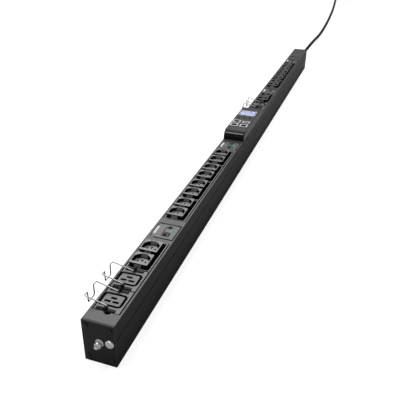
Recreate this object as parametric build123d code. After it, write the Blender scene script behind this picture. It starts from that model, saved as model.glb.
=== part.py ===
from build123d import *
import os
from math import cos, radians, sin, tan

# A vertical rack power distribution unit lying on its back. Sizes are in millimetres. X runs across
# the bar, Y along it with the cord at the high end, and Z up out of the outlet face. The origin is
# the centre of the flat back. Distances called "from near" are measured from the end without a cord.

# The bar as a whole
BAR_W = 52.0
BAR_L = 1750.0
BAR_D = 76.8
SHEET = 1.6
EDGE_R = 1.2
FIT = 0.1

# Side joint, where the front cover meets the back channel
SEAM_Z = 49.6
SEAM_GAP = 1.6
JOGGLE_H = 11.0

# Ends
CAP_T = 3.5
END_FRAME_L = 12.0
END_FRAME_WALL = 7.0
END_FRAME_GAP = 0.2
CAP_SCREW_X = 19.0
CAP_SCREW_Z = 28.5
CAP_SCREW_R = 1.9
CAP_SCREW_L = 11.0
CAP_HEAD_R = 3.4
CAP_HEAD_H = 2.0
FAR_COVER_FROM = 1608.0
FAR_COVER_GAP = 1.6

# Openings in the front for the outlet modules
LIP_W = 3.7
MODULE_GAP = 2.2
OUTLET_X = -2.0
FLANGE_T = 1.8
FLANGE_OVER = 2.4
MODULE_DEEP = 30.0
C19_PITCH = 52.4
C13_PITCH = 84.0
C13_SPACING = 38.8
BANK_FROM = (25.0, 290.4, 908.4, 1168.0)
BANK_C19 = (2, 0, 2, 0)
BANK_C13 = (1, 4, 1, 4)

# The larger outlet
C19_ISLAND = (30.0, 21.6)
C19_GROOVE = 3.2
C19_ISLAND_R = 2.6
C19_GROOVE_DEEP = 20.0
C19_SLOT = 8.8
C19_PIN_X = 6.5
C19_PIN_Y = 4.0

# The smaller outlet, in a raised collar
C13_ISLAND = (24.0, 16.0)
C13_CHAMFER = 4.6
C13_GROOVE = 2.4
C13_COLLAR = (31.8, 31.0)
C13_COLLAR_H = 6.0
C13_COLLAR_R = 2.0
C13_FLOOR = 3.0
C13_GROOVE_DEEP = 16.0
C13_SLOT = 5.2
C13_PIN_X = 7.0
C13_PIN_Y = 2.0
C13_RIM = 1.6
C13_TAB_W = 12.0
C13_TAB_L = 4.0
C13_TAB_UNDER = 1.5
C13_LEAD_IN = 3.0

# Spring contacts in the outlets
CONTACT_T = 0.6
CONTACT_GRIP = 1.7
CONTACT_TOP = 7.0
CONTACT_FOOT = 22.0
CONTACT_PLAY = 0.15
SLOT_STEP = 0.3
TAIL_T = 0.8

# Wire bails that hold a plug in the larger outlets, lying open to the left
BAIL_R = 1.0
BAIL_PIVOT_H = 3.0
BAIL_HALF = 17.3
BAIL_REACH = 37.0
BAIL_LIFT = 14.0
BAIL_NECK = 9.0
BAIL_DROP = 19.0
BAIL_BEND = 2.4
BAIL_PIN_L = 7.5
LUG_GAP = 0.3
LUG_T = 4.6
LUG_R = 2.9
LUG_FOOT = 30.0
LUG_FOOT_H = 1.6
LUG_BORE_PLAY = 0.06

# Branch breakers, each in a sunken panel
BREAKER_FROM = (226.0, 637.0, 1108.0, 1516.0)
PANEL_L = 47.0
PANEL_HALF_W = 20.6
PANEL_SINK = 1.2
PANEL_PLAY = 0.3
PANEL_STEP = 2.0
BREAKER_X = 3.5
BREAKER_HALF_W = 16.0
BREAKER_L = 40.0
BREAKER_DEEP = 34.0
ROCKER_W = 14.0
ROCKER_R = 14.6
ROCKER_TOP = 5.6
ROCKER_DIP = 3.6
ROCKER_FOOT = 4.0
ROCKER_PIVOT = 4.6
ROCKER_TILT = 8.0
ROCKER_SLOT = (5.6, 3.2, 1.8)
ROCKER_PLAY = 0.4
ROCKER_ROOM = 6.0
TRUNNION_R = 1.5
TRUNNION_L = 1.2
TRUNNION_PLAY = 0.05
LABEL = (4.4, 25.0, 0.5)

# Raised controller across the middle of the bar
CTRL_FROM = 697.0
CTRL_L = 190.0
CTRL_H = 22.0
CTRL_WALL = 2.2
CTRL_NEAR_R = 19.0
CTRL_FAR_R = 3.0
CTRL_EDGE_R = 1.8
BOARD_Z = 3.2
BOARD_T = 1.6
BOARD_W = 44.0
BOARD_L = 152.0
BOARD_FROM = 28.0
POST_R = 3.0
SCREEN = (38.0, 31.5)
SCREEN_AT = 144.0
WINDOW_T = 1.4
WINDOW_LEDGE = 1.6
BUTTON_AT = 106.0
BUTTON_X = 15.0
BUTTON_R = 2.6
BUTTON_PLAY = 0.2
BUTTON_PROUD = 0.8
BUTTON_TRAVEL = 0.6
BUTTON_COLLAR_R = 3.8
BUTTON_COLLAR_T = 1.0
SWITCH = (6.0, 3.6)
JACK = (15.0, 13.4)
JACK_MOUTH = (11.8, 7.6)
JACK_MOUTH_OFF = 1.0
JACK_DEEP = 12.5
JACK_KEY = (6.0, 2.2)
SHIELD_T = 0.4
JACK_AT = ((-12.5, 49.0), (-12.5, 75.0), (12.5, 49.0))
USB = (14.6, 7.4)
USB_MOUTH = (12.4, 4.8)
USB_TONGUE = 1.8
USB_AT = (12.5, 75.0)
WIRING_HOLE = (24.0, 90.0)

# Power path inside
BAR_T = 3.0
BAR_H = 15.0
BAR_FOOT = 14.0
BAR_PITCH = 7.0
FEED_X = 15.0
SUPPORT = (44.0, 12.0, 8.0)
SUPPORT_PLAY = 0.05
SUPPORT_FROM = (50.0, 200.0, 310.0, 500.0, 655.0, 770.0, 925.0, 1085.0, 1190.0, 1380.0, 1540.0, 1630.0)
LINE_RUNS = ((35.0, 258.0), (300.0, 669.0), (918.0, 1140.0), (1178.0, 1548.0))
FEED_FROM = 238.0
BARS_FROM = 35.0
BARS_TO = 1690.0
LINK = (2.0, 6.0)
BLOCK_L = 40.0
BLOCK_TOP = 46.0
BLOCK_OVER = 12.0

# Earth point on the near end
EARTH_X = 1.0
EARTH_Z = 40.8
EARTH_R = 3.0
EARTH_L = 12.0
EARTH_HEAD_AF = 10.0
EARTH_HEAD_H = 4.0
WASHER_R = 6.5
WASHER_T = 1.2
NUT_H = 5.0
DOME_X = 17.2
DOME_Z = 43.2
DOME_R = 6.8
DOME_H = 3.0
DOME_SHANK_R = 2.4
DOME_SHANK_L = 9.0

# Threaded inserts in the back for the rack's mounting buttons
INSERT_SPACING = 1562.0
INSERT_R = 4.0
INSERT_BORE = 2.5
INSERT_L = 9.0
INSERT_FLANGE_R = 6.0
INSERT_FLANGE_T = 1.0
INSERT_PLAY = 0.05

# Cord, gland, coil and plug
CORD_R = 7.0
CORD_Z = 38.4
CORE_R = 2.2
CORE_SPREAD = 2.7
GLAND_BORE_PLAY = 0.1
GLAND_THREAD_R = 12.5
GLAND_AF = 32.0
GLAND_HEX_L = 7.0
LOCKNUT_AF = 28.0
GLAND_DOME_L = 26.0
GLAND_DOME_R = 14.5
GLAND_TIP_R = 10.0
LOCKNUT_L = 5.0
COIL_MEAN_R = 68.0
COIL_X = 6.0
COIL_Y = 3032.0
COIL_FOOT = 1.5
COIL_LAYERS = 2
TIE_W = 12.0
TIE_AT = 168.0
TIE_T = 1.2
TIE_PLAY = 0.1
TIE_SIDE_PLAY = 0.5
PLUG_R = 26.0
PLUG_GRIP_L = 62.0
PLUG_GRIP_R = 15.0
PLUG_COLLAR_L = 16.0
PLUG_COLLAR_R = 29.0
PLUG_SHROUD_L = 38.0
PLUG_SHROUD_WALL = 2.4
PLUG_PIN_R = 2.5
PLUG_PIN_L = 34.0
PLUG_PIN_RING = 13.0
PLUG_EARTH_R = 3.2
LEAD_POINTS = (
    (0.0, 849.0, 38.4),
    (0.0, 1000.0, 38.4),
    (0.0, 1290.0, 27.0),
    (0.0, 1500.0, 12.0),
    (-0.6, 1640.0, 7.3),
    (-3.2, 1840.0, 7.2),
    (-8.2, 2040.0, 7.2),
    (-15.4, 2239.0, 7.2),
    (-24.7, 2438.0, 7.2),
    (-36.3, 2636.0, 7.2),
    (-50.0, 2834.0, 7.2),
    (-61.6, 3024.9, 8.5),
)
TAIL_POINTS = (
    (-52.9, 3066.0, 22.5),
    (-15.4, 3131.0, 25.5),
    (7.1, 3202.5, 29.3),
)
PLUG_Z = 29.3

os.makedirs("parts", exist_ok=True)

FRONT = BAR_D
SKIN = FRONT - SHEET
HALF_W = BAR_W / 2
HALF_OPEN = HALF_W - LIP_W
HALF_MODULE = HALF_OPEN - MODULE_GAP


def along(from_near):
    """The Y of a place given as its distance from the near end."""
    return from_near - BAR_L / 2


def block(x, y, z):
    """A box between two limits on each axis."""
    centre = ((x[0] + x[1]) / 2, (y[0] + y[1]) / 2, (z[0] + z[1]) / 2)
    return Pos(*centre) * Box(x[1] - x[0], y[1] - y[0], z[1] - z[0])


def disc(radius, z_from, z_to, x=0.0, y=0.0):
    """An upright cylinder between two heights."""
    return Pos(x, y, (z_from + z_to) / 2) * Cylinder(radius, z_to - z_from)


def rod(radius, x, z, y_from, y_to):
    """A cylinder that lies along the bar."""
    return Pos(x, (y_from + y_to) / 2, z) * Rot(90, 0, 0) * Cylinder(radius, y_to - y_from)


def plate(sketch, z_from, z_to):
    """A flat sketch pulled up between two heights."""
    return Pos(0, 0, z_from) * extrude(sketch, z_to - z_from)


def along_bar(points, y_from, y_to):
    """A closed outline in X and Z pulled along the bar."""
    outline = make_face(Polyline(*[(x, 0, z) for x, z in points], close=True))
    return Pos(0, y_from, 0) * extrude(outline, y_to - y_from, dir=(0, 1, 0))


def across_bar(points, x_from, x_to):
    """A closed outline in Y and Z pulled across the bar."""
    outline = make_face(Polyline(*[(0, y, z) for y, z in points], close=True))
    return Pos(x_from, 0, 0) * extrude(outline, x_to - x_from, dir=(1, 0, 0))


def save(name, *solids):
    """Writes one node, whose solids stay apart."""
    shape = solids[0] if len(solids) == 1 else Compound(children=list(solids))
    export_step(shape, f"parts/{name}.step")


def bank_modules(bank):
    """The centre, from the near end, of each outlet module of a bank, larger outlets first."""
    start = BANK_FROM[bank]
    large = [start + C19_PITCH * (i + 0.5) for i in range(BANK_C19[bank])]
    start += C19_PITCH * BANK_C19[bank]
    small = [start + C13_PITCH * (i + 0.5) for i in range(BANK_C13[bank])]
    return large, small


def bank_length(bank):
    return C19_PITCH * BANK_C19[bank] + C13_PITCH * BANK_C13[bank]


def breaker_middle(bank):
    return BREAKER_FROM[bank] + PANEL_L / 2


# Back channel: folded sheet with a stepped edge that stands inside the cover
def back_channel():
    step_x = HALF_W - SHEET - FIT
    half = [
        (HALF_W, 0.0),
        (HALF_W, SEAM_Z - SEAM_GAP / 2),
        (step_x, SEAM_Z + SEAM_GAP / 2 - FIT),
        (step_x, SEAM_Z + JOGGLE_H),
        (step_x - SHEET, SEAM_Z + JOGGLE_H),
        (step_x - SHEET, SEAM_Z),
        (HALF_W - SHEET, SEAM_Z - SEAM_GAP),
        (HALF_W - SHEET, SHEET),
    ]
    outline = half + [(-x, z) for x, z in reversed(half)]
    channel = along_bar(outline, along(CAP_T), along(BAR_L - CAP_T))
    corners = channel.edges().filter_by(Axis.Y).filter_by(lambda e: e.center().Z < 0.1)
    channel = fillet(corners, EDGE_R)
    for side in (-1, 1):
        channel -= disc(INSERT_R + INSERT_PLAY, -1, SHEET + 1, y=side * INSERT_SPACING / 2)
    return channel


def cover_section(from_near, to_near):
    """A length of the front cover: a front skin with a skirt down each side."""
    foot = SEAM_Z + SEAM_GAP / 2
    half = [(HALF_W - SHEET, foot), (HALF_W, foot), (HALF_W, FRONT)]
    inner = [(-HALF_W + SHEET, SKIN), (HALF_W - SHEET, SKIN)]
    outline = inner + half + [(-x, z) for x, z in reversed(half)]
    cover = along_bar(outline, along(from_near), along(to_near))
    corners = cover.edges().filter_by(Axis.Y).filter_by(lambda e: e.center().Z > FRONT - 0.1)
    return fillet(corners, EDGE_R)


def front_window(half_x, from_near, length, x=0.0):
    """The cutter for an opening through the front skin."""
    return block(
        (x - half_x, x + half_x), (along(from_near), along(from_near + length)), (SKIN - 1, FRONT + 1)
    )


# Front cover: openings for four banks, four breakers and the controller's wiring
def front_cover():
    cover = cover_section(CAP_T, FAR_COVER_FROM - FAR_COVER_GAP)
    for bank in range(len(BANK_FROM)):
        cover -= front_window(HALF_OPEN, BANK_FROM[bank], bank_length(bank))
        cover -= front_window(PANEL_HALF_W + PANEL_PLAY, BREAKER_FROM[bank], PANEL_L)
    wiring_from = CTRL_FROM + (CTRL_L - WIRING_HOLE[1]) / 2
    cover -= front_window(WIRING_HOLE[0] / 2, wiring_from, WIRING_HOLE[1])
    notch = disc(LUG_R * 1.7, SKIN - 1, FRONT + 1, x=OUTLET_X + LUG_R * 2, y=along(BANK_FROM[0]))
    return cover - notch


def input_cover():
    return cover_section(FAR_COVER_FROM, BAR_L - CAP_T)


# End caps, the frames that they are screwed to, and their screws
def cap_corners():
    return [(sx * CAP_SCREW_X, BAR_D / 2 + sz * CAP_SCREW_Z) for sx in (-1, 1) for sz in (-1, 1)]


def end_cap(at_far):
    y = along(BAR_L - CAP_T) if at_far else along(0)
    outline = RectangleRounded(BAR_W, BAR_D, EDGE_R)
    cap = Pos(0, y + CAP_T / 2, BAR_D / 2) * Rot(90, 0, 0) * extrude(outline, CAP_T / 2, both=True)
    for x, z in cap_corners():
        cap -= rod(CAP_SCREW_R + FIT, x, z, y - 1, y + CAP_T + 1)
    if at_far:
        return cap - rod(GLAND_THREAD_R + FIT, 0, CORD_Z, y - 1, y + CAP_T + 1)
    cap -= rod(EARTH_R + FIT, EARTH_X, EARTH_Z, y - 1, y + CAP_T + 1)
    return cap - rod(DOME_SHANK_R + FIT, DOME_X, DOME_Z, y - 1, y + CAP_T + 1)


def end_frame(at_far):
    y0 = along(BAR_L - CAP_T - END_FRAME_L) if at_far else along(CAP_T)
    y1 = y0 + END_FRAME_L
    half = HALF_W - 2 * SHEET - FIT - END_FRAME_GAP
    frame = block((-half, half), (y0, y1), (SHEET, SKIN))
    hollow = END_FRAME_WALL
    frame -= block((hollow - half, half - hollow), (y0 - 1, y1 + 1), (SHEET + hollow, SKIN - hollow))
    for x, z in cap_corners():
        frame -= rod(CAP_SCREW_R + FIT / 2, x, z, y0 - 1, y1 + 1)
    if not at_far:
        frame += block((half - hollow, half), (y0, y1), (DOME_Z - hollow, DOME_Z + hollow))
        frame -= rod(DOME_SHANK_R + FIT / 2, DOME_X, DOME_Z, y0 - 1, y1 + 1)
    return frame


def end_screws(at_far):
    outer = along(BAR_L) if at_far else along(0)
    out = 1 if at_far else -1
    screws = []
    for x, z in cap_corners():
        ends = sorted((outer, outer - out * CAP_SCREW_L))
        screw = rod(CAP_SCREW_R, x, z, *ends)
        head = rod(CAP_HEAD_R, x, z, *sorted((outer, outer + out * CAP_HEAD_H)))
        rim = head.faces().sort_by(Axis.Y)[-1 if at_far else 0].edges()
        head = fillet(rim, CAP_HEAD_H * 0.45)
        drive = Pos(x, outer + out * CAP_HEAD_H, z) * Rot(90, 0, 0)
        drive = drive * (Box(3.4, 0.8, 2 * 1.2) + Box(0.8, 3.4, 2 * 1.2))
        screws.append(screw + head - drive)
    return screws


# Earth point: a headed stud with washers and a nut, and a domed screw beside it
def hex_rod(across_flats, x, z, y_from, y_to):
    """A hexagonal bar along Y, with two of its flats facing the sides."""
    hexagon = RegularPolygon(across_flats / 2, 6, major_radius=False, rotation=30)
    prism = extrude(hexagon, (y_to - y_from) / 2, both=True)
    return Pos(x, (y_from + y_to) / 2, z) * Rot(90, 0, 0) * prism


def earth_stud():
    face = along(0)
    stud = rod(EARTH_R, EARTH_X, EARTH_Z, face - EARTH_L, face + CAP_T)
    head = hex_rod(EARTH_HEAD_AF, EARTH_X, EARTH_Z, face + CAP_T, face + CAP_T + EARTH_HEAD_H)
    tip = stud.faces().sort_by(Axis.Y)[0].edges()
    return chamfer(tip, 0.6) + head


def earth_washers():
    washers = []
    for place, radius in ((0, WASHER_R), (1, WASHER_R - 1.2)):
        y1 = along(0) - place * WASHER_T
        ring = rod(radius, EARTH_X, EARTH_Z, y1 - WASHER_T, y1)
        washers.append(ring - rod(EARTH_R + FIT, EARTH_X, EARTH_Z, y1 - WASHER_T - 1, y1 + 1))
    return washers


def earth_nut():
    y1 = along(0) - 2 * WASHER_T
    nut = hex_rod(EARTH_HEAD_AF, EARTH_X, EARTH_Z, y1 - NUT_H, y1)
    round_off = Cone(EARTH_HEAD_AF * 0.68, EARTH_HEAD_AF * 0.5, NUT_H)
    nut = nut & Pos(EARTH_X, y1 - NUT_H / 2, EARTH_Z) * Rot(90, 0, 0) * round_off
    return nut - rod(EARTH_R + FIT / 2, EARTH_X, EARTH_Z, y1 - NUT_H - 1, y1 + 1)


def earth_screw():
    face = along(0)
    head = rod(DOME_R, DOME_X, DOME_Z, face - DOME_H, face)
    head = fillet(head.faces().sort_by(Axis.Y)[0].edges(), DOME_H * 0.7)
    return head + rod(DOME_SHANK_R, DOME_X, DOME_Z, face, face + DOME_SHANK_L)


# Threaded inserts in the back channel
def mounting_inserts():
    inserts = []
    for side in (-1, 1):
        y = side * INSERT_SPACING / 2
        body = disc(INSERT_R, 0, INSERT_L, y=y)
        body += disc(INSERT_FLANGE_R, SHEET, SHEET + INSERT_FLANGE_T, y=y)
        inserts.append(body - disc(INSERT_BORE, -1, INSERT_L + 1, y=y))
    return inserts


# Outlets. Each is drawn about its own centre with Z = 0 on the front face, then placed.
def module_blank(pitch):
    """A module's body, which fills its place in the opening, and its flange under the skin."""
    half_y = (pitch - MODULE_GAP) / 2
    body = block((-HALF_MODULE, HALF_MODULE), (-half_y, half_y), (-MODULE_DEEP, 0))
    half_x = HALF_MODULE + FLANGE_OVER
    over = (pitch - FIT) / 2
    return body + block((-half_x, half_x), (-over, over), (-SHEET - FLANGE_T, -SHEET))


def c13_outline(grow):
    """The smaller outlet's outline, with its two far corners cut off, grown outwards."""
    w, d, c = C13_ISLAND[0] / 2 + grow, C13_ISLAND[1] / 2 + grow, C13_CHAMFER + grow * 0.6
    points = [(-w, -d), (w, -d), (w, d - c), (w - c, d), (c - w, d), (-w, d - c)]
    return make_face(Polyline(*points, close=True))


def pin_places(spread, offset):
    """Where the line, earth and neutral slots lie about an outlet's centre."""
    return ((-spread, -offset), (0.0, offset), (spread, -offset))


def slot_cutter(slot, tail, centre):
    """A contact slot with the narrow way for its tail out of the back."""
    mouth = block((-slot[0] / 2, slot[0] / 2), (-slot[1] / 2, slot[1] / 2), (-CONTACT_FOOT, 1))
    way = block((-tail[0] / 2, tail[0] / 2), (-tail[1] / 2, tail[1] / 2), (-MODULE_DEEP - 1, 0))
    return Pos(centre[0], centre[1], 0) * (mouth + way)


def spring_room():
    """The room across a spring contact, a little more than the contact."""
    return CONTACT_GRIP + 2 * CONTACT_T + 2 * CONTACT_PLAY


def c19_module():
    module = module_blank(C19_PITCH)
    island = RectangleRounded(*C19_ISLAND, C19_ISLAND_R)
    outer = RectangleRounded(
        C19_ISLAND[0] + 2 * C19_GROOVE, C19_ISLAND[1] + 2 * C19_GROOVE, C19_ISLAND_R + C19_GROOVE * 0.6
    )
    module -= Pos(OUTLET_X, 0, 0) * plate(outer - island, -C19_GROOVE_DEEP, 1)
    slot = (C19_SLOT, spring_room())
    for place in pin_places(C19_PIN_X, C19_PIN_Y):
        tail = (C19_SLOT - 2 * SLOT_STEP, TAIL_T + 2 * CONTACT_PLAY)
        module -= slot_cutter(slot, tail, (OUTLET_X + place[0], place[1]))
    return module


def c13_module():
    module = module_blank(C13_PITCH)
    half_y = (C13_PITCH - MODULE_GAP) / 2 - C13_RIM
    half_x = HALF_MODULE - C13_RIM
    module -= block((-half_x, half_x), (-half_y, half_y), (-C13_FLOOR, 1))
    slot = (spring_room(), C13_SLOT)
    tail = (TAIL_T + 2 * CONTACT_PLAY, C13_SLOT - 2 * SLOT_STEP)
    for side in (-1, 1):
        y = side * C13_SPACING / 2
        at = Pos(OUTLET_X, y, 0)
        collar = RectangleRounded(*C13_COLLAR, C13_COLLAR_R)
        module += at * plate(collar, -C13_FLOOR - 0.5, C13_COLLAR_H)
        module -= at * plate(c13_outline(C13_GROOVE), -C13_GROOVE_DEEP, C13_COLLAR_H + 1)
        module += at * plate(c13_outline(0), -C13_GROOVE_DEEP, 0)
        edge = -C13_COLLAR[1] / 2
        ramp = [
            (edge - C13_TAB_L, -C13_FLOOR),
            (edge, -C13_FLOOR),
            (edge, C13_COLLAR_H - C13_TAB_UNDER),
            (edge - C13_TAB_L + 1.2, -C13_FLOOR + 1.6),
            (edge - C13_TAB_L, -C13_FLOOR + 1.0),
        ]
        module += at * across_bar(ramp, -C13_TAB_W / 2, C13_TAB_W / 2)
        wall = C13_ISLAND[1] / 2 + C13_GROOVE
        lead_in = [(wall, 0), (wall + C13_LEAD_IN, C13_COLLAR_H + 0.01), (wall, C13_COLLAR_H + 0.01)]
        module -= at * across_bar(lead_in, -C13_TAB_W / 2, C13_TAB_W / 2)
        for place in pin_places(C13_PIN_X, C13_PIN_Y):
            module -= slot_cutter(slot, tail, (OUTLET_X + place[0], y + place[1]))
    return module


def contact(wide):
    """A folded spring that grips a blade, with a tail down to its busbar."""
    inner = CONTACT_GRIP / 2
    outer = inner + CONTACT_T
    root = -CONTACT_FOOT + CONTACT_PLAY
    tail_foot = BAR_FOOT + BAR_H - FRONT
    points = [
        (-outer, -CONTACT_TOP),
        (-outer, root),
        (-TAIL_T / 2, root),
        (-TAIL_T / 2, tail_foot),
        (TAIL_T / 2, tail_foot),
        (TAIL_T / 2, root),
        (outer, root),
        (outer, -CONTACT_TOP),
        (inner, -CONTACT_TOP),
        (inner, root + CONTACT_T),
        (-inner, root + CONTACT_T),
        (-inner, -CONTACT_TOP),
    ]
    return across_bar(points, -wide / 2, wide / 2)


def in_place(piece, from_near, x=0.0):
    """Moves a piece drawn about Z = 0 to its place on the front face."""
    return Pos(x, along(from_near), FRONT) * piece


def c19_contacts(bank):
    spring = contact(C19_SLOT - 2 * (SLOT_STEP + CONTACT_PLAY))
    out = []
    for middle in bank_modules(bank)[0]:
        for x, y in pin_places(C19_PIN_X, C19_PIN_Y):
            out.append(in_place(spring, middle + y, OUTLET_X + x))
    return out


def c13_contacts(bank):
    spring = Rot(0, 0, 90) * contact(C13_SLOT - 2 * (SLOT_STEP + CONTACT_PLAY))
    out = []
    for middle in bank_modules(bank)[1]:
        for side in (-1, 1):
            for x, y in pin_places(C13_PIN_X, C13_PIN_Y):
                place = middle + side * C13_SPACING / 2 + y
                out.append(in_place(spring, place, OUTLET_X + x))
    return out


# Wire bails and the lugs that they turn in
def bail():
    """One bail about its outlet's centre, opened to the left and lifted."""
    pivot = (OUTLET_X, BAIL_PIVOT_H)
    reach = BAIL_REACH
    end_x = pivot[0] - reach * cos(radians(BAIL_LIFT))
    end_z = pivot[1] + reach * sin(radians(BAIL_LIFT))
    pin = BAIL_HALF + BAIL_PIN_L
    half = [
        (pivot[0], pin, pivot[1]),
        (pivot[0], BAIL_HALF, pivot[1]),
        (end_x, BAIL_HALF, end_z),
        (end_x, BAIL_NECK, end_z),
        (end_x, BAIL_NECK, end_z - BAIL_DROP),
    ]
    points = [(x, -y, z) for x, y, z in half] + list(reversed(half))
    path = FilletPolyline(*points, radius=BAIL_BEND)
    profile = Plane(origin=path @ 0, z_dir=path % 0) * Circle(BAIL_R)
    return sweep(profile, path=path)


def bail_lugs():
    """The two lugs of one outlet, each with a foot on the outlet's face."""
    lugs = []
    near = BAIL_HALF + BAIL_BEND + LUG_GAP
    for side in (-1, 1):
        y0, y1 = sorted((side * near, side * (near + LUG_T)))
        foot = block(
            (OUTLET_X - LUG_FOOT / 2, OUTLET_X + LUG_FOOT / 2), (y0, y1), (0, LUG_FOOT_H)
        )
        post = block((OUTLET_X - LUG_R, OUTLET_X + LUG_R), (y0, y1), (0, BAIL_PIVOT_H))
        eye = rod(LUG_R, OUTLET_X, BAIL_PIVOT_H, y0, y1)
        bore = rod(BAIL_R + LUG_BORE_PLAY, OUTLET_X, BAIL_PIVOT_H, y0 - 1, y1 + 1)
        lugs.append(foot + post + eye - bore)
    return lugs


# Breakers: a sunken bezel, a body behind it and a rocker that turns in the body
def rocker_height():
    """How far the rocker's pivot lies below the front face."""
    return PANEL_SINK + ROCKER_PIVOT


def breaker_bezel():
    half_l = PANEL_L / 2 - PANEL_PLAY
    top = -PANEL_SINK
    raised = block(
        (-PANEL_HALF_W, PANEL_HALF_W), (-half_l + PANEL_STEP, half_l), (-SHEET - FLANGE_T, top)
    )
    over = FLANGE_OVER
    flange = block(
        (-PANEL_HALF_W - over, PANEL_HALF_W + over),
        (-half_l - over, half_l + over),
        (-SHEET - FLANGE_T, -SHEET),
    )
    half_x = ROCKER_W / 2 + ROCKER_PLAY
    half_y = ROCKER_R + ROCKER_PLAY
    hole = block((BREAKER_X - half_x, BREAKER_X + half_x), (-half_y, half_y), (-10, 1))
    return raised + flange - hole


def breaker_body():
    top = -SHEET - FLANGE_T
    half_w, half_l = BREAKER_HALF_W, BREAKER_L / 2
    body = block(
        (BREAKER_X - half_w, BREAKER_X + half_w), (-half_l, half_l), (top - BREAKER_DEEP, top)
    )
    body = chamfer(body.edges().filter_by(Axis.Z), 1.5)
    half_x = ROCKER_W / 2 + ROCKER_PLAY
    half_y = ROCKER_R + ROCKER_PLAY
    body -= block(
        (BREAKER_X - half_x, BREAKER_X + half_x),
        (-half_y, half_y),
        (-rocker_height() - ROCKER_FOOT - ROCKER_ROOM, 1),
    )
    reach = ROCKER_W / 2 + TRUNNION_L + 0.5
    bore = Pos(BREAKER_X, 0, -rocker_height()) * Rot(0, 90, 0)
    return body - bore * Cylinder(TRUNNION_R + TRUNNION_PLAY, 2 * reach)


def rocker():
    """The rocker about its pivot, pressed down at its far end."""
    r = ROCKER_R
    outline = [
        (-r, ROCKER_TOP),
        (0, ROCKER_DIP),
        (r, ROCKER_TOP),
        (r, -1.0),
        (0, -ROCKER_FOOT),
        (-r, -1.0),
    ]
    body = across_bar(outline, -ROCKER_W / 2, ROCKER_W / 2)
    body = body & (Rot(0, 90, 0) * Cylinder(r, ROCKER_W + 2))
    slot_w, slot_l, slot_deep = ROCKER_SLOT
    for side in (-1, 1):
        y = side * r * 0.84
        foot = ROCKER_TOP - slot_deep
        body -= block((-slot_w / 2, slot_w / 2), (y - slot_l / 2, y + slot_l / 2), (foot, r))
    body += Rot(0, 90, 0) * Cylinder(TRUNNION_R, ROCKER_W + 2 * TRUNNION_L)
    return Rot(-ROCKER_TILT, 0, 0) * body


def label_plate():
    w, length, t = LABEL
    x = -PANEL_HALF_W + w / 2 + 0.8
    return block((x - w / 2, x + w / 2), (-length / 2, length / 2), (-PANEL_SINK, -PANEL_SINK + t))


def breaker_links(bank):
    """Two strips under a breaker: one up from the feed bar, one down to the bank's line bar."""
    top = FRONT - SHEET - FLANGE_T - BREAKER_DEEP
    foot = BAR_FOOT + BAR_H
    y = along(breaker_middle(bank))
    t, wide = LINK
    return [
        block((x - t / 2, x + t / 2), (y - wide / 2, y + wide / 2), (foot, top))
        for x in (bar_x(0), FEED_X)
    ]


# Busbars on comb-like supports
def bar_x(index):
    """X of the line, earth and neutral bars, which run below the contacts."""
    return OUTLET_X + (index - 1) * BAR_PITCH


def busbar(x, from_near, to_near):
    return block(
        (x - BAR_T / 2, x + BAR_T / 2), (along(from_near), along(to_near)), (BAR_FOOT, BAR_FOOT + BAR_H)
    )


def busbar_support(from_near):
    w, length, grip = SUPPORT
    foot = block((-w / 2, w / 2), (0, length), (SHEET, BAR_FOOT + grip))
    half = BAR_T / 2 + SUPPORT_PLAY
    for x in (bar_x(0), bar_x(1), bar_x(2), FEED_X):
        foot -= block((x - half, x + half), (-1, length + 1), (BAR_FOOT, BAR_FOOT + grip + 1))
    return Pos(0, along(from_near), 0) * foot


def terminal_block():
    """Where the cord's cores meet the feed, earth and neutral bars."""
    y0, y1 = along(BARS_TO - BLOCK_OVER), along(BARS_TO - BLOCK_OVER + BLOCK_L)
    half = SUPPORT[0] / 2
    body = block((-half, half), (y0, y1), (SHEET, BLOCK_TOP))
    half_t = BAR_T / 2 + SUPPORT_PLAY
    for x in (bar_x(1), bar_x(2), FEED_X):
        body -= block(
            (x - half_t, x + half_t), (y0 - 1, along(BARS_TO)), (BAR_FOOT, BAR_FOOT + BAR_H)
        )
        body -= disc(3.0, BLOCK_TOP - 6, BLOCK_TOP + 1, x=x, y=(y0 + y1) / 2)
    return body


def terminal_screws():
    y = along(BARS_TO - BLOCK_OVER + BLOCK_L / 2)
    screws = []
    for x in (bar_x(1), bar_x(2), FEED_X):
        screw = disc(2.9, BLOCK_TOP - 6, BLOCK_TOP - 2, x=x, y=y)
        screws.append(screw - block((x - 3, x + 3), (y - 0.4, y + 0.4), (BLOCK_TOP - 3, BLOCK_TOP)))
    return screws


# Controller: a hollow raised housing with its board, screen, buttons and jacks
def ctrl_y(at):
    return along(CTRL_FROM + at)


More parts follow.
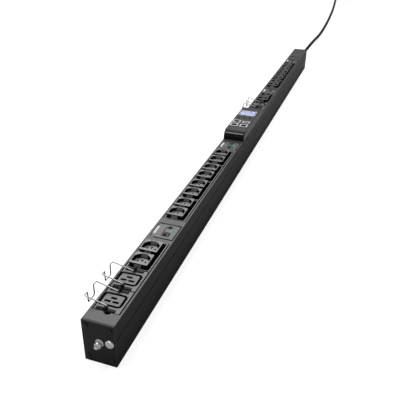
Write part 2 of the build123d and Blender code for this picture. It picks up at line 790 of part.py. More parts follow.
def controller_housing():
    """A thin shell, open below, with a large round near end."""
    def outline(inset):
        near, far = ctrl_y(inset), ctrl_y(CTRL_L - inset)
        top, foot = FRONT + CTRL_H - inset, FRONT
        r = CTRL_NEAR_R - inset
        far_r = max(CTRL_FAR_R - inset, 0.5)
        bow = 1 - cos(radians(45))
        rise, level = (0, near, top - r), (0, near + r, top)
        drop, end = (0, far - far_r, top), (0, far, top - far_r)
        lines = Line((0, near, foot), rise)
        lines += ThreePointArc(rise, (0, near + r * bow, top - r * bow), level)
        lines += Line(level, drop)
        lines += ThreePointArc(drop, (0, far - far_r * bow, top - far_r * bow), end)
        lines += Line(end, (0, far, foot))
        lines += Line((0, far, foot), (0, near, foot))
        return make_face(lines)

    half = HALF_W - CTRL_WALL
    shell = Pos(-HALF_W, 0, 0) * extrude(outline(0), BAR_W, dir=(1, 0, 0))
    top = FRONT + CTRL_H
    long_edges = shell.edges().filter_by(Axis.Y).filter_by(lambda e: e.center().Z > top - 0.1)
    shell = fillet(long_edges, CTRL_EDGE_R)
    shell -= Pos(-half, 0, 0) * extrude(outline(CTRL_WALL), 2 * half, dir=(1, 0, 0))
    shell -= window_cutters()
    for x in (-BUTTON_X, 0, BUTTON_X):
        shell -= disc(BUTTON_R + BUTTON_PLAY, top - 6, top + 1, x=x, y=ctrl_y(BUTTON_AT))
    for (x, at), (w, d) in jack_sites():
        half_w, half_d = w / 2 + SHIELD_T + FIT, d / 2 + SHIELD_T + FIT
        y = ctrl_y(at)
        shell -= block((x - half_w, x + half_w), (y - half_d, y + half_d), (top - 6, top + 1))
    return shell


def window_cutters():
    """The screen's opening and the ledge that its window lies on."""
    top = FRONT + CTRL_H
    w, length = SCREEN
    y = ctrl_y(SCREEN_AT)
    way = block((-w / 2, w / 2), (y - length / 2, y + length / 2), (top - 6, top + 1))
    w, length = w + 2 * WINDOW_LEDGE, length + 2 * WINDOW_LEDGE
    ledge = block((-w / 2, w / 2), (y - length / 2, y + length / 2), (top - WINDOW_T, top + 1))
    return way + ledge


def jack_sites():
    """The place and outline of each jack on the board."""
    return [(place, JACK) for place in JACK_AT] + [(USB_AT, USB)]


def board_level():
    return FRONT + BOARD_Z


def controller_board():
    y0, foot = ctrl_y(BOARD_FROM), board_level()
    return block((-BOARD_W / 2, BOARD_W / 2), (y0, y0 + BOARD_L), (foot, foot + BOARD_T))


def board_posts():
    x = BOARD_W / 2 - POST_R - 1
    ends = (ctrl_y(BOARD_FROM) + POST_R + 1, ctrl_y(BOARD_FROM + BOARD_L) - POST_R - 1)
    return [disc(POST_R, FRONT, board_level(), x=sx * x, y=y) for sx in (-1, 1) for y in ends]


def screen_module():
    """The lit screen on a block that stands on the board under the window."""
    w, length = SCREEN[0] - 2 * FIT, SCREEN[1] - 2 * FIT
    y = ctrl_y(SCREEN_AT)
    foot, top = board_level() + BOARD_T, FRONT + CTRL_H - WINDOW_T - FIT
    return block((-w / 2, w / 2), (y - length / 2, y + length / 2), (foot, top))


def screen_window():
    w, length = SCREEN[0] + 2 * WINDOW_LEDGE - 2 * FIT, SCREEN[1] + 2 * WINDOW_LEDGE - 2 * FIT
    y, top = ctrl_y(SCREEN_AT), FRONT + CTRL_H
    return block((-w / 2, w / 2), (y - length / 2, y + length / 2), (top - WINDOW_T, top))


def control_button(x):
    """A cap with a collar under the housing and a stem down to its switch."""
    y, top = ctrl_y(BUTTON_AT), FRONT + CTRL_H
    cap = disc(BUTTON_R, top - CTRL_WALL - BUTTON_COLLAR_T, top + BUTTON_PROUD, x=x, y=y)
    cap = fillet(cap.faces().sort_by(Axis.Z)[-1].edges(), 0.6)
    collar_top = top - CTRL_WALL - FIT
    cap += disc(BUTTON_COLLAR_R, collar_top - BUTTON_COLLAR_T, collar_top, x=x, y=y)
    foot = board_level() + BOARD_T + SWITCH[1] + BUTTON_TRAVEL + FIT
    return cap + disc(BUTTON_R * 0.6, foot, collar_top, x=x, y=y)


def button_switches():
    foot = board_level() + BOARD_T
    half = SWITCH[0] / 2
    y = ctrl_y(BUTTON_AT)
    return [
        block((x - half, x + half), (y - half, y + half), (foot, foot + SWITCH[1] - 0.8))
        + disc(half * 0.55, foot, foot + SWITCH[1], x=x, y=y)
        for x in (-BUTTON_X, 0, BUTTON_X)
    ]


def network_jack(x, at):
    """An upright jack with its stepped mouth."""
    y, foot, top = ctrl_y(at), board_level() + BOARD_T, FRONT + CTRL_H
    w, d = JACK
    jack = block((x - w / 2, x + w / 2), (y - d / 2, y + d / 2), (foot, top))
    mw, md = JACK_MOUTH
    kw, kd = JACK_KEY
    depth = (top - JACK_DEEP, top + 1)
    edge = y - JACK_MOUTH_OFF + md / 2
    mouth = block((x - mw / 2, x + mw / 2), (edge - md, edge), depth)
    key = block((x - kw / 2, x + kw / 2), (edge, edge + kd), depth)
    return jack - mouth - key


def usb_jack():
    x, at = USB_AT
    y, foot, top = ctrl_y(at), board_level() + BOARD_T, FRONT + CTRL_H
    w, d = USB
    jack = block((x - w / 2, x + w / 2), (y - d / 2, y + d / 2), (foot, top))
    mw, md = USB_MOUTH
    depth = (top - JACK_DEEP, top + 1)
    mouth = block((x - mw / 2, x + mw / 2), (y - md / 2, y + md / 2), depth)
    edge = y + md / 2
    tongue = block((x - mw / 2 + 1, x + mw / 2 - 1), (edge - USB_TONGUE, edge), (depth[0], top - 1))
    return jack - (mouth - tongue)


def jack_shields():
    """A thin metal sleeve around each jack."""
    foot, top = board_level() + BOARD_T, FRONT + CTRL_H
    sleeves = []
    for (x, at), (w, d) in jack_sites():
        inner = Rectangle(w + FIT, d + FIT)
        outer = Rectangle(w + 2 * SHIELD_T, d + 2 * SHIELD_T)
        sleeves.append(Pos(x, ctrl_y(at), 0) * plate(outer - inner, foot, top + 0.3))
    return sleeves


# Cord entry at the far end
def gland_body():
    """Threaded through the end cap, with a hexagon outside and a rounded clamping nut."""
    face = along(BAR_L)
    body = rod(GLAND_THREAD_R, 0, CORD_Z, face - CAP_T - LOCKNUT_L - 2, face)
    body += hex_rod(GLAND_AF, 0, CORD_Z, face, face + GLAND_HEX_L)
    y0, y1 = face + GLAND_HEX_L, face + GLAND_HEX_L + GLAND_DOME_L
    shoulder = y0 + GLAND_DOME_L * 0.5
    outline = [(0, y0), (GLAND_DOME_R, y0), (GLAND_DOME_R, shoulder), (GLAND_TIP_R, y1), (0, y1)]
    dome = revolve(make_face(Polyline(*outline, close=True)), Axis.Y)
    body += Pos(0, 0, CORD_Z) * dome
    bore = CORD_R + GLAND_BORE_PLAY
    return body - rod(bore, 0, CORD_Z, face - 40, y1 + 1)


def gland_locknut():
    y1 = along(BAR_L - CAP_T)
    nut = hex_rod(LOCKNUT_AF, 0, CORD_Z, y1 - LOCKNUT_L, y1)
    return nut - rod(GLAND_THREAD_R + FIT / 2, 0, CORD_Z, y1 - LOCKNUT_L - 1, y1 + 1)


def tube(points):
    """A round cord along straight runs joined by arcs as large as the runs allow."""
    places = [Vector(*p) for p in points]
    radii = []
    for before, here, after in zip(places, places[1:], places[2:]):
        turn = (here - before).get_angle(after - here)
        shorter = min((here - before).length, (after - here).length)
        radii.append(0.45 * shorter / tan(radians(turn) / 2))
    print("cord radii", [round(r) for r in radii])
    path = FilletPolyline(*points, radius=radii)
    profile = Plane(origin=path @ 0, z_dir=path % 0) * Circle(CORD_R)
    cord = sweep(profile, path=path)
    print("cord volume", round(cord.volume), "length", round(path.length, 1))
    return cord


def input_cores():
    """The cord's three cores between its cut end and the terminal block."""
    y0, y1 = along(BARS_TO - BLOCK_OVER + BLOCK_L), LEAD_POINTS[0][1]
    cores = []
    for x, z in ((-CORE_SPREAD, -CORE_SPREAD), (CORE_SPREAD, -CORE_SPREAD), (0, CORE_SPREAD)):
        cores.append(rod(CORE_R, x, CORD_Z + z, y0, y1))
    return cores


def cord_coil():
    """The stored turns of the cord as one ring."""
    inner, outer = COIL_MEAN_R - CORD_R, COIL_MEAN_R + CORD_R
    ring = Circle(outer) - Circle(inner)
    return Pos(COIL_X, COIL_Y, 0) * plate(ring, COIL_FOOT, COIL_FOOT + COIL_LAYERS * 2 * CORD_R)


def cord_tie():
    """A strap round the coil's turns."""
    low, high = COIL_FOOT - TIE_PLAY, COIL_FOOT + COIL_LAYERS * 2 * CORD_R + TIE_PLAY
    half = CORD_R + TIE_SIDE_PLAY
    inner, outer = COIL_MEAN_R - half, COIL_MEAN_R + half
    band = block((inner - TIE_T, outer + TIE_T), (-TIE_W / 2, TIE_W / 2), (low - TIE_T, high + TIE_T))
    band -= block((inner, outer), (-TIE_W, TIE_W), (low, high))
    return Pos(COIL_X, COIL_Y, 0) * Rot(0, 0, TIE_AT) * band


def plug_placed(piece):
    """Moves a piece drawn along +Y from the cord's end to the plug's place."""
    end, before = Vector(*TAIL_POINTS[-1]), Vector(*TAIL_POINTS[-2])
    way = end - before
    turn = Vector(0, 1, 0).get_signed_angle(Vector(way.X, way.Y, 0), Vector(0, 0, 1))
    return Pos(end.X, end.Y, PLUG_Z) * Rot(0, 0, turn) * piece


def plug_body():
    grip, collar = PLUG_GRIP_L, PLUG_GRIP_L + PLUG_COLLAR_L
    tip = collar + PLUG_SHROUD_L
    inner = PLUG_R - PLUG_SHROUD_WALL
    outline = [
        (0, 0),
        (PLUG_GRIP_R * 0.8, 0),
        (PLUG_GRIP_R, 6),
        (PLUG_GRIP_R, 18),
        (PLUG_R, grip * 0.75),
        (PLUG_R, grip),
        (PLUG_COLLAR_R, grip),
        (PLUG_COLLAR_R, collar),
        (PLUG_R, collar),
        (PLUG_R, tip),
        (inner, tip),
        (inner, collar),
        (0, collar),
    ]
    body = revolve(make_face(Polyline(*outline, close=True)), Axis.Y)
    key = block((-4, 4), (collar, tip - 2), (-PLUG_R - 2.5, -PLUG_R + 1.0))
    return plug_placed(body + key)


def plug_pins():
    collar = PLUG_GRIP_L + PLUG_COLLAR_L
    pins = []
    for angle, radius in ((-90, PLUG_EARTH_R), (30, PLUG_PIN_R), (150, PLUG_PIN_R)):
        x, z = PLUG_PIN_RING * cos(radians(angle)), PLUG_PIN_RING * sin(radians(angle))
        pin = rod(radius, x, z, collar, collar + PLUG_PIN_L)
        pins.append(plug_placed(chamfer(pin.faces().sort_by(Axis.Y)[-1].edges(), 0.8)))
    return pins


# Write every node
save("back_channel", back_channel())
save("front_cover", front_cover())
save("input_cover", input_cover())
save("near_end_cap", end_cap(False))
save("far_end_cap", end_cap(True))
save("end_frames", end_frame(False), end_frame(True))
save("cap_screws", *end_screws(False), *end_screws(True))
save("earth_stud", earth_stud())
save("earth_washers", *earth_washers())
save("earth_nut", earth_nut())
save("earth_screw", earth_screw())
save("mounting_inserts", *mounting_inserts())

large_outlet = c19_module()
small_module = c13_module()
one_bail = bail()
lug_pair = bail_lugs()
bail_number = 0
lugs, large_outlets, contacts = [], [], []
for bank in range(len(BANK_FROM)):
    large, small = bank_modules(bank)
    name = f"bank_{bank + 1}"
    large_outlets += [in_place(large_outlet, middle) for middle in large]
    contacts += c19_contacts(bank) + c13_contacts(bank)
    save(f"small_outlets_{name}", *[in_place(small_module, middle) for middle in small])
    for middle in large:
        bail_number += 1
        save(f"plug_bail_{bail_number}", in_place(one_bail, middle))
        lugs += [in_place(lug, middle) for lug in lug_pair]
save("bail_lugs", *lugs)
save("large_outlets", *large_outlets)
save("outlet_contacts", *contacts)

bezels, bodies, labels, links = [], [], [], []
for bank in range(len(BREAKER_FROM)):
    middle = breaker_middle(bank)
    bezels.append(in_place(breaker_bezel(), middle))
    bodies.append(in_place(breaker_body(), middle))
    labels.append(in_place(label_plate(), middle))
    links += breaker_links(bank)
    pivot = Pos(BREAKER_X, along(middle), FRONT - rocker_height())
    save(f"breaker_rocker_{bank + 1}", pivot * rocker())
save("breaker_bezels", *bezels)
save("breaker_bodies", *bodies)
save("label_plates", *labels)
save("breaker_links", *links)

save("line_busbars", *[busbar(bar_x(0), *run) for run in LINE_RUNS])
save("earth_busbar", busbar(bar_x(1), BARS_FROM, BARS_TO))
save("neutral_busbar", busbar(bar_x(2), BARS_FROM, BARS_TO))
save("feed_busbar", busbar(FEED_X, FEED_FROM, BARS_TO))
save("busbar_supports", *[busbar_support(place) for place in SUPPORT_FROM])
save("terminal_block", terminal_block())
save("terminal_screws", *terminal_screws())

save("controller_housing", controller_housing())
save("controller_board", controller_board())
save("board_posts", *board_posts())
save("screen_module", screen_module())
save("screen_window", screen_window())
for number, x in enumerate((-BUTTON_X, 0, BUTTON_X), 1):
    save(f"control_button_{number}", control_button(x))
save("button_switches", *button_switches())
save("network_jacks", *[network_jack(x, at) for x, at in JACK_AT])
save("usb_jack", usb_jack())
save("jack_shields", *jack_shields())

save("gland_body", gland_body())
save("gland_locknut", gland_locknut())
save("cord_lead", tube(LEAD_POINTS))
save("input_cores", *input_cores())
save("cord_coil", cord_coil())
save("cord_tail", tube(TAIL_POINTS))
save("cord_tie", cord_tie())
save("plug_body", plug_body())
save("plug_pins", *plug_pins())
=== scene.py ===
from math import cos, radians, sin

import bmesh
import bpy
from mathutils import Matrix, Vector


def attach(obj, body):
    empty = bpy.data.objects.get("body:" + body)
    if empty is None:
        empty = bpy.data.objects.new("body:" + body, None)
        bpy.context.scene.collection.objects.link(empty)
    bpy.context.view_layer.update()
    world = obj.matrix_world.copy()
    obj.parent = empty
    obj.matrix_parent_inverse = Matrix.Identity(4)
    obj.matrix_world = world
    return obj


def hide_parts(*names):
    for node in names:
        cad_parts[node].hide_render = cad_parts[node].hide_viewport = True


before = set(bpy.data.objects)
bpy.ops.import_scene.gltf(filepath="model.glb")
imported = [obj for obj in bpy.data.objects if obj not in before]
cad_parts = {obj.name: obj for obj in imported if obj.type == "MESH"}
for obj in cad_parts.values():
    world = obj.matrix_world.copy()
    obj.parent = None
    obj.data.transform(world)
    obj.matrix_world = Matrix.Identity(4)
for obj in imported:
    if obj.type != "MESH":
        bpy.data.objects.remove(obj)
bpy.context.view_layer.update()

# Camera: it stands over the near end of the bar, a little to its right, and looks down along it.
# It keeps the place and the lens that the bar's own edges give.
CAMERA_PLACE = (0.2977, -1.3339, 0.5729)
CAMERA_RIGHT = (0.9461, 0.3233, 0.0173)
CAMERA_UP = (-0.17296, 0.45954, 0.87115)
CAMERA_VIEW = (-0.2737, 0.8272, -0.4907)
CAMERA_LENS = 46.05

camera_data = bpy.data.cameras.new("camera")
camera_data.lens = CAMERA_LENS
camera_data.sensor_width = 36.0
camera_data.clip_start = 0.02
camera = bpy.data.objects.new("camera", camera_data)
bpy.context.scene.collection.objects.link(camera)
turn = Matrix((CAMERA_RIGHT, CAMERA_UP, [-c for c in CAMERA_VIEW])).transposed()
camera.matrix_world = Matrix.Translation(CAMERA_PLACE) @ turn.to_4x4()
bpy.context.scene.camera = camera


# Input cord: a three-core rubber cable that leaves the gland in the far end cap and runs on along
# the floor. Its spare length is wound in a small flat coil under a strap, in line with the bar, and
# a blue industrial plug is moulded on its end.
CORD_DIAMETER = 0.014
LEAD = (
    (0.0, 0.849, 0.0384),
    (0.0, 1.000, 0.0384),
    (0.0, 1.290, 0.0270),
    (0.0, 1.500, 0.0120),
    (-0.0006, 1.640, 0.0073),
    (-0.0032, 1.840, 0.0072),
    (-0.0082, 2.040, 0.0072),
    (-0.0154, 2.239, 0.0072),
    (-0.0247, 2.438, 0.0072),
    (-0.0363, 2.636, 0.0072),
    (-0.0500, 2.834, 0.0072),
    (-0.0596, 2.975, 0.0075),
)
TAIL = ((-0.0154, 3.1310, 0.0255), (0.0071, 3.2025, 0.0293))
COIL_CENTRE = (0.0060, 3.0320)
COIL_POINT_R = 0.0694
COIL_LOW = 0.0085
COIL_HIGH = 0.0225
COIL_ANGLES = (186.0, -210.0)
CLIMB_ANGLES = (40.0, -140.0)
COIL_STEPS = 18

route = list(LEAD)
for step in range(COIL_STEPS + 1):
    angle = COIL_ANGLES[0] + (COIL_ANGLES[1] - COIL_ANGLES[0]) * step / COIL_STEPS
    climb = (angle - CLIMB_ANGLES[0]) / (CLIMB_ANGLES[1] - CLIMB_ANGLES[0])
    height = COIL_LOW + (COIL_HIGH - COIL_LOW) * min(max(climb, 0.0), 1.0)
    x = COIL_CENTRE[0] + COIL_POINT_R * cos(radians(angle))
    y = COIL_CENTRE[1] + COIL_POINT_R * sin(radians(angle))
    route.append((x, y, height))
route += TAIL

cord_curve = bpy.data.curves.new("input_cord", "CURVE")
cord_curve.dimensions = "3D"
cord_curve.bevel_depth = CORD_DIAMETER / 2
cord_curve.bevel_resolution = 5
cord_curve.resolution_u = 10
cord_curve.use_fill_caps = True
line = cord_curve.splines.new("NURBS")
line.points.add(len(route) - 1)
for point, place in zip(line.points, route):
    point.co = (*place, 1.0)
line.order_u = 3
line.use_endpoint_u = True
input_cord = bpy.data.objects.new("input_cord", cord_curve)
bpy.context.scene.collection.objects.link(input_cord)


def surface(name, color, roughness, metallic=0.0, specular=0.5, grain=900.0, bump=0.00002):
    """A finish with a fine grain in its roughness and height."""
    made = bpy.data.materials.new(name)
    made.use_nodes = True
    nodes, links = made.node_tree.nodes, made.node_tree.links
    shader = nodes["Principled BSDF"]
    shader.inputs["Base Color"].default_value = (*color, 1.0)
    shader.inputs["Metallic"].default_value = metallic
    shader.inputs["Specular IOR Level"].default_value = specular
    places = nodes.new("ShaderNodeTexCoord")
    noise = nodes.new("ShaderNodeTexNoise")
    noise.inputs["Scale"].default_value = grain
    noise.inputs["Detail"].default_value = 3.0
    links.new(places.outputs["Object"], noise.inputs["Vector"])
    spread = nodes.new("ShaderNodeMapRange")
    spread.inputs["To Min"].default_value = roughness * 0.85
    spread.inputs["To Max"].default_value = min(1.0, roughness * 1.15)
    links.new(noise.outputs["Fac"], spread.inputs["Value"])
    links.new(spread.outputs["Result"], shader.inputs["Roughness"])
    raised = nodes.new("ShaderNodeBump")
    raised.inputs["Strength"].default_value = 0.4
    raised.inputs["Distance"].default_value = bump
    links.new(noise.outputs["Fac"], raised.inputs["Height"])
    links.new(raised.outputs["Normal"], shader.inputs["Normal"])
    return made


def dress(finish, *names):
    """Gives CAD nodes their finish."""
    for name in names:
        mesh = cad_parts[name].data
        mesh.materials.clear()
        mesh.materials.append(finish)


cord_rubber = surface("cord_rubber", (0.012, 0.012, 0.013), 0.6, specular=0.12, grain=1500.0)
cord_curve.materials.append(cord_rubber)
plug_blue = surface("plug_blue", (0.012, 0.075, 0.33), 0.4, grain=700.0)
plug_brass = surface("plug_brass", (0.72, 0.52, 0.22), 0.25, metallic=1.0)
core_cover = surface("core_cover", (0.16, 0.09, 0.05), 0.5)
strap_nylon = surface("strap_nylon", (0.02, 0.02, 0.021), 0.6)
dress(cord_rubber, "cord_lead", "cord_coil", "cord_tail")
dress(plug_blue, "plug_body")
dress(plug_brass, "plug_pins")
dress(core_cover, "input_cores")
dress(strap_nylon, "cord_tie")
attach(input_cord, "bar")
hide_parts("cord_lead", "cord_coil", "cord_tail")


# Back channel, end caps and the frames behind them: folded steel sheet and pressed plates with a
# satin black powder coat, held by dark screws at the corners.
def dress_band(finish, low, high, name):
    """Gives the faces of a node that lie between two heights another finish."""
    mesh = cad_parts[name].data
    mesh.materials.append(finish)
    for face in mesh.polygons:
        if low < face.center.z < high:
            face.material_index = len(mesh.materials) - 1


# The channel's faces in the band of the side joint under the cover's edge are painted near-black:
# painted shade in the seam.
SEAM_SHADE_BAND = (0.0489, 0.0610)
body_coat = surface("body_coat", (0.010, 0.010, 0.011), 0.46, specular=0.17, grain=1400.0)
cap_coat = surface("cap_coat", (0.012, 0.012, 0.013), 0.5, specular=0.3, grain=1400.0)
screw_black = surface("screw_black", (0.006, 0.006, 0.006), 0.35)
seam_shade_black = surface("seam_shade_black", (0.002, 0.002, 0.002), 0.6, specular=0.05)
dress(body_coat, "back_channel", "end_frames")
dress_band(seam_shade_black, *SEAM_SHADE_BAND, "back_channel")
dress(cap_coat, "near_end_cap", "far_end_cap")
dress(screw_black, "cap_screws")


# Front cover and input cover: the same sheet, coated alike, with openings cut for the outlets. The
# front has a satin sheen; the skirts down the sides get the darker, duller body coat, painted shade.
def dress_steep(finish, limit, *names):
    """Gives the faces that look up less than a limit another finish."""
    for name in names:
        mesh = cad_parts[name].data
        mesh.materials.append(finish)
        for face in mesh.polygons:
            face.material_index = int(face.normal.z < limit)


SKIRT_SHADE_LIMIT = 0.5
cover_coat = surface("cover_coat", (0.020, 0.020, 0.021), 0.42, specular=0.52, grain=1400.0)
dress(cover_coat, "front_cover", "input_cover")
dress_steep(body_coat, SKIRT_SHADE_LIMIT, "front_cover", "input_cover")


# Earth point: a zinc-plated stud with a washer, a spring washer and a nut, and a domed screw.
zinc = surface("zinc", (0.86, 0.86, 0.87), 0.30, metallic=0.75, grain=500.0)
dress(zinc, "earth_stud", "earth_washers", "earth_nut", "earth_screw", "mounting_inserts")


# Larger outlets: moulded dark grey nylon modules pressed up into the cover, flush with it, with a
# deep groove round each island. Below their face they are painted black, painted shade in the
# grooves and slots.
FRONT_LEVEL = 0.0768
LARGE_FACE_DROP = 0.0002
# Near-black of the painted shade in recesses, gaps and walls, shared by the joint strip.
SHADE_BLACK = (0.003, 0.003, 0.003)


def paint_shade_below(finish, level, color, blend=0.0004):
    """Turns a finish another colour under a level, painted shade for the insides of recesses."""
    nodes, links = finish.node_tree.nodes, finish.node_tree.links
    shader = nodes["Principled BSDF"]
    places = nodes.new("ShaderNodeTexCoord")
    parts = nodes.new("ShaderNodeSeparateXYZ")
    links.new(places.outputs["Object"], parts.inputs["Vector"])
    above = nodes.new("ShaderNodeMapRange")
    above.inputs["From Min"].default_value = level - blend
    above.inputs["From Max"].default_value = level
    links.new(parts.outputs["Z"], above.inputs["Value"])
    mixed = nodes.new("ShaderNodeMix")
    mixed.data_type = "RGBA"
    mixed.inputs["A"].default_value = (*color, 1.0)
    mixed.inputs["B"].default_value = shader.inputs["Base Color"].default_value[:]
    links.new(above.outputs["Result"], mixed.inputs["Factor"])
    links.new(mixed.outputs["Result"], shader.inputs["Base Color"])
    dull = nodes.new("ShaderNodeMath")
    dull.operation = "MULTIPLY"
    dull.inputs[1].default_value = shader.inputs["Specular IOR Level"].default_value
    links.new(above.outputs["Result"], dull.inputs[0])
    links.new(dull.outputs["Value"], shader.inputs["Specular IOR Level"])


large_nylon = surface("large_nylon", (0.060, 0.060, 0.063), 0.40, specular=0.6, grain=1100.0)
paint_shade_below(large_nylon, FRONT_LEVEL - LARGE_FACE_DROP, SHADE_BLACK)
dress(large_nylon, "large_outlets")


# Outlet edges: a thin black ring laid on the module's face round each larger outlet's groove and
# slot, painted shade at their chamfered mouths.
OUTLET_X = -0.002
LARGE_MIDDLES = (-0.8238, -0.7714, 0.0596, 0.1120)
LARGE_GROOVE = (0.0182, 0.0140)
LARGE_GROOVE_R = 0.0058
LARGE_GROOVE_EDGE = 0.0011
LARGE_SLOT = (0.0044, 0.0016)
LARGE_SLOT_R = 0.0002
LARGE_SLOT_EDGE = 0.0006
LARGE_PINS = ((-0.0065, -0.004), (0.0, 0.004), (0.0065, -0.004))
EDGE_THICK = 0.00006
CORNER_STEPS = 6


def add_block(shape, low, high, y=0.0):
    """A box between two corners, moved along the bar."""
    middle = [(a + b) / 2 for a, b in zip(low, high)]
    size = [b - a for a, b in zip(low, high)]
    place = Matrix.Translation((middle[0], middle[1] + y, middle[2])) @ Matrix.Diagonal((*size, 1.0))
    return bmesh.ops.create_cube(shape, size=1.0, matrix=place)["verts"]


def finished(name, shape, finish, body):
    """Turns a bmesh into a piece that rides on a body."""
    mesh = bpy.data.meshes.new(name)
    shape.to_mesh(mesh)
    shape.free()
    mesh.materials.append(finish)
    piece = bpy.data.objects.new(name, mesh)
    bpy.context.scene.collection.objects.link(piece)
    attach(piece, body)
    return piece


def add_ring(shape, centre, inner, edge, corner, low):
    """A thin flat ring round a rounded rectangle, lying on a level."""
    rows = []
    for grow in (0.0, edge):
        half_x, half_y, round_off = inner[0] + grow, inner[1] + grow, corner + grow
        row = []
        for turn_x, turn_y, start in ((1, 1, 0), (-1, 1, 90), (-1, -1, 180), (1, -1, 270)):
            for step in range(CORNER_STEPS + 1):
                angle = radians(start + 90 * step / CORNER_STEPS)
                x = centre[0] + turn_x * (half_x - round_off) + round_off * cos(angle)
                y = centre[1] + turn_y * (half_y - round_off) + round_off * sin(angle)
                row.append((x, y))
        rows.append(row)
    levels = (low, low + EDGE_THICK)
    made = [[shape.verts.new((x, y, z)) for x, y in row] for row in rows for z in levels]
    count = len(rows[0])
    for first, second in ((0, 1), (1, 3), (3, 2), (2, 0)):
        for step in range(count):
            after = (step + 1) % count
            shape.faces.new(
                (made[first][step], made[second][step], made[second][after], made[first][after])
            )
    bmesh.ops.recalc_face_normals(shape, faces=shape.faces[:])


# Near-black for the painted shade at edges, wells and gaps, also worn by the joint strip.
shade_and_joint_black = surface("shade_and_joint_black", SHADE_BLACK, 0.6, specular=0.08)
shape = bmesh.new()
for middle in LARGE_MIDDLES:
    centre = (OUTLET_X, middle)
    add_ring(shape, centre, LARGE_GROOVE, LARGE_GROOVE_EDGE, LARGE_GROOVE_R, FRONT_LEVEL)
    for x, y in LARGE_PINS:
        centre = (OUTLET_X + x, middle + y)
        add_ring(shape, centre, LARGE_SLOT, LARGE_SLOT_EDGE, LARGE_SLOT_R, FRONT_LEVEL)
finished("large_outlet_edge_shades", shape, shade_and_joint_black, "bar")


# Joint strip: a thin black rubber strip laid over the joint between the two covers.
JOINT_STRIP = ((-0.0245, 0.7290, FRONT_LEVEL), (0.0180, 0.7355, FRONT_LEVEL + 0.0002))
shape = bmesh.new()
add_block(shape, *JOINT_STRIP)
finished("cover_joint_strip", shape, shade_and_joint_black, "bar")


# Smaller outlets: moulded black nylon modules with a raised collar round each outlet. Faces higher
# than 1 mm under the front are painted a lighter grey, a painted sheen on the black nylon; faces
# lower down and all steep walls are painted black, painted shade.
TRAY_DROP = 0.0010
WALL_SHADE_LIMIT = 0.35
small_nylon_sheen_and_shade = surface("small_nylon_sheen_and_shade", (0.090, 0.090, 0.094), 0.36, specular=0.7, grain=1100.0)
paint_shade_below(small_nylon_sheen_and_shade, FRONT_LEVEL - TRAY_DROP, SHADE_BLACK)
deep_shade_black = surface("deep_shade_black", SHADE_BLACK, 0.5, specular=0.15)
small_banks = [f"small_outlets_bank_{bank}" for bank in (1, 2, 3, 4)]
dress(small_nylon_sheen_and_shade, *small_banks)
dress_steep(deep_shade_black, WALL_SHADE_LIMIT, *small_banks)
spring_alloy = surface("spring_alloy", (0.60, 0.45, 0.22), 0.3, metallic=1.0)
dress(spring_alloy, "outlet_contacts")


# Wire bails: bent bright steel wire that swings over a plug, in black nylon lugs.
bright_wire = surface("bright_wire", (0.34, 0.34, 0.35), 0.30, metallic=1.0, grain=300.0)
lug_nylon = surface("lug_nylon", (0.004, 0.004, 0.004), 0.5, specular=0.15)
dress(bright_wire, *[f"plug_bail_{number}" for number in (1, 2, 3, 4)])
dress(lug_nylon, "bail_lugs")


# Branch breakers: a sunken bezel with a dark rocker that turns in the breaker behind it, and a
# small white plate left blank. The bezel is painted black below its floor and the rocker's slots
# black, painted shade; a rocker's near end is painted paler, a painted highlight.
BEZEL_FLOOR_DROP = 0.00135
BREAKER_MIDDLES = (-0.6255, -0.2145, 0.2565, 0.6645)
BREAKER_X = 0.0035
SLOT_HALF_W = 0.0030
SLOT_PLACE = 0.0123
SLOT_HALF_L = 0.0022
LIT_END_LIMIT = -0.6
bezel_nylon = surface("bezel_nylon", (0.040, 0.040, 0.042), 0.38, specular=0.55)
# Below its floor the bezel is painted black, painted shade.
paint_shade_below(bezel_nylon, FRONT_LEVEL - BEZEL_FLOOR_DROP, SHADE_BLACK, blend=0.0001)
rocker_nylon = surface("rocker_nylon", (0.045, 0.045, 0.047), 0.34, specular=0.5)
# Paler grey on each rocker's near end, a painted highlight.
rocker_lit_end = surface("rocker_lit_end", (0.30, 0.30, 0.305), 0.4)
plate_white = surface("plate_white", (0.58, 0.58, 0.57), 0.5)
dress(bezel_nylon, "breaker_bezels", "breaker_bodies")
dress(plate_white, "label_plates")
for number, middle in enumerate(BREAKER_MIDDLES, 1):
    name = f"breaker_rocker_{number}"
    dress(rocker_nylon, name)
    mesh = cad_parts[name].data
    mesh.materials.append(deep_shade_black)
    mesh.materials.append(rocker_lit_end)
    for face in mesh.polygons:
        if face.normal.y < LIT_END_LIMIT:
            face.material_index = 2
        # Faces in the rocker's two slots are painted black, painted shade.
        places = [mesh.vertices[index].co for index in face.vertices]
        across = max(abs(place.x - BREAKER_X) for place in places)
        along = max(abs(abs(place.y - middle) - SLOT_PLACE) for place in places)
        if across < SLOT_HALF_W and along < SLOT_HALF_L:
            face.material_index = 1


# Breaker marks: dark lines along two sides of each panel and a dark patch on its bezel, painted
# shade in the gaps there, with a green mark, dark patches of painted shade that turn with the
# rocker, and two red dots on the bezel.
PANEL_GAP_SHADES = (
    ((-0.0125, -0.0262, FRONT_LEVEL), (0.0232, -0.0236, FRONT_LEVEL + 0.0001)),
    ((0.0209, -0.0262, FRONT_LEVEL), (0.0232, 0.0236, FRONT_LEVEL + 0.0001)),
)
BEZEL_GAP_SHADE = ((0.0004, 0.0151, 0.0756), (0.0064, 0.0186, 0.0757))
shape = bmesh.new()
for middle in BREAKER_MIDDLES:
    for low, high in PANEL_GAP_SHADES:
        add_block(shape, low, high, y=middle)
    add_block(shape, *BEZEL_GAP_SHADE, y=middle)
finished("breaker_panel_gap_shades", shape, shade_and_joint_black, "bar")

